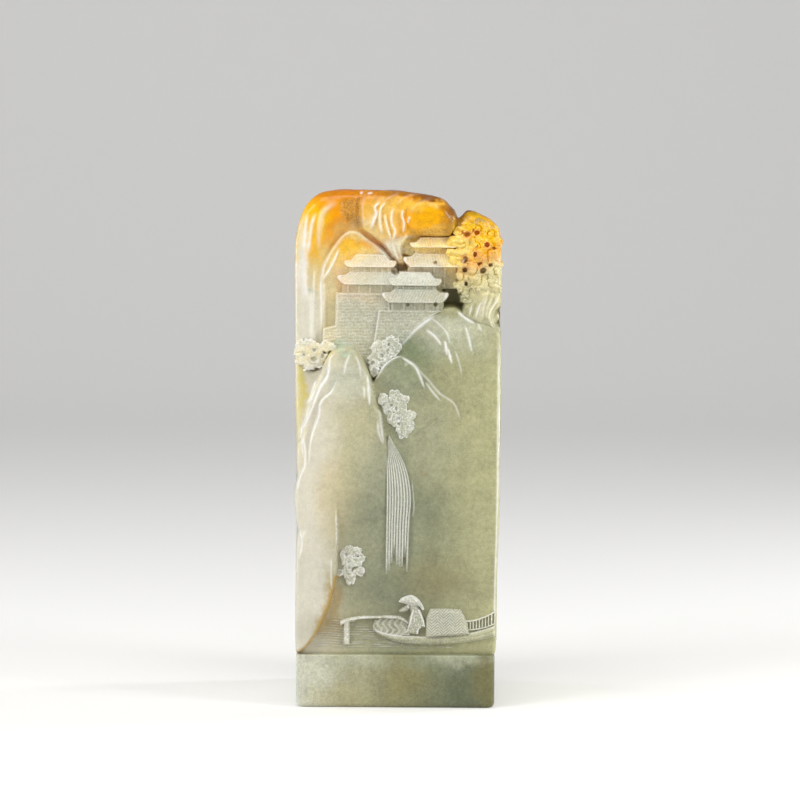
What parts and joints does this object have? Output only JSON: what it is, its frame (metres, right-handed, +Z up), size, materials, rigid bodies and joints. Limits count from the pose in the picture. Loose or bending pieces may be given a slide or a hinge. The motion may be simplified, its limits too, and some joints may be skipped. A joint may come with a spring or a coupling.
{
  "type": "seal stamp",
  "caption": "Upright square jade seal with a flat sealing face, its body carved in relief with mountains, gate towers, a waterfall and a boat.",
  "frame": {"origin": "centre of the flat sealing face that the seal stands on", "axes": "+Z up through the carved crown, +X to the right as seen from the carved front, +Y to the back"},
  "size_m": [0.031, 0.031, 0.078],
  "materials": {
    "pale_green_jade": "polished",
    "cream_jade": "polished",
    "yellow_skin_jade": "polished",
    "frosted_carved_jade": "satin"
  },
  "bodies": {
    "root": {"seal_base": "pale_green_jade", "stone_body": "cream_jade", "hill_ground": "pale_green_jade", "lake_water": "pale_green_jade", "left_cliff": "cream_jade", "middle_hill": "pale_green_jade", "waterfall": "frosted_carved_jade", "crown_left_peak": "yellow_skin_jade", "crown_main_rock": "yellow_skin_jade", "crown_back_ridge": "yellow_skin_jade", "inner_peak": "yellow_skin_jade", "left_brick_wall": "frosted_carved_jade", "front_brick_wall": "frosted_carved_jade", "left_gate_tower": "frosted_carved_jade", "front_gate_tower": "frosted_carved_jade", "rear_gate_tower": "frosted_carved_jade", "right_pine_trunk": "frosted_carved_jade", "right_pine_foliage": "yellow_skin_jade", "left_foliage": "yellow_skin_jade", "wall_foliage": "frosted_carved_jade", "cliff_foliage": "frosted_carved_jade", "shore_foliage": "frosted_carved_jade", "boat_hull": "frosted_carved_jade", "boat_cabin": "frosted_carved_jade", "boat_bow_beam": "frosted_carved_jade", "boat_stern_rail": "frosted_carved_jade", "fisherman": "frosted_carved_jade"}
  },
  "joints": []
}
